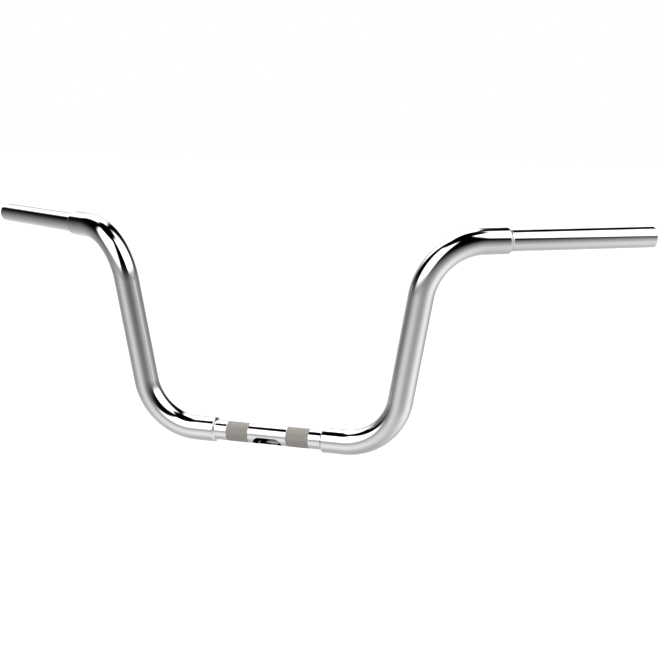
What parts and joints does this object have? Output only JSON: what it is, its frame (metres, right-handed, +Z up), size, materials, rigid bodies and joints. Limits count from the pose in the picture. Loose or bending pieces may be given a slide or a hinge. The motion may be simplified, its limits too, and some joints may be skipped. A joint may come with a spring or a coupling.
{
  "type": "motorcycle handlebar",
  "caption": "Stepped chrome tube handlebar with upright risers, pulled-back grips, a thinner knurled clamp section and a wire slot.",
  "frame": {"origin": "middle of the clamp section, on its axis", "axes": "+X to the clutch side along the clamp axis, +Y back towards the rider, +Z up"},
  "size_m": [0.9132, 0.1585, 0.2859],
  "materials": {
    "chrome": "bright plated"
  },
  "bodies": {
    "root": {"clamp_tube": "chrome", "clutch_riser_tube": "chrome", "throttle_riser_tube": "chrome", "clutch_grip_tube": "chrome", "throttle_grip_tube": "chrome", "clutch_clamp_cone": "chrome", "throttle_clamp_cone": "chrome", "clutch_grip_cone": "chrome", "throttle_grip_cone": "chrome"}
  },
  "joints": []
}
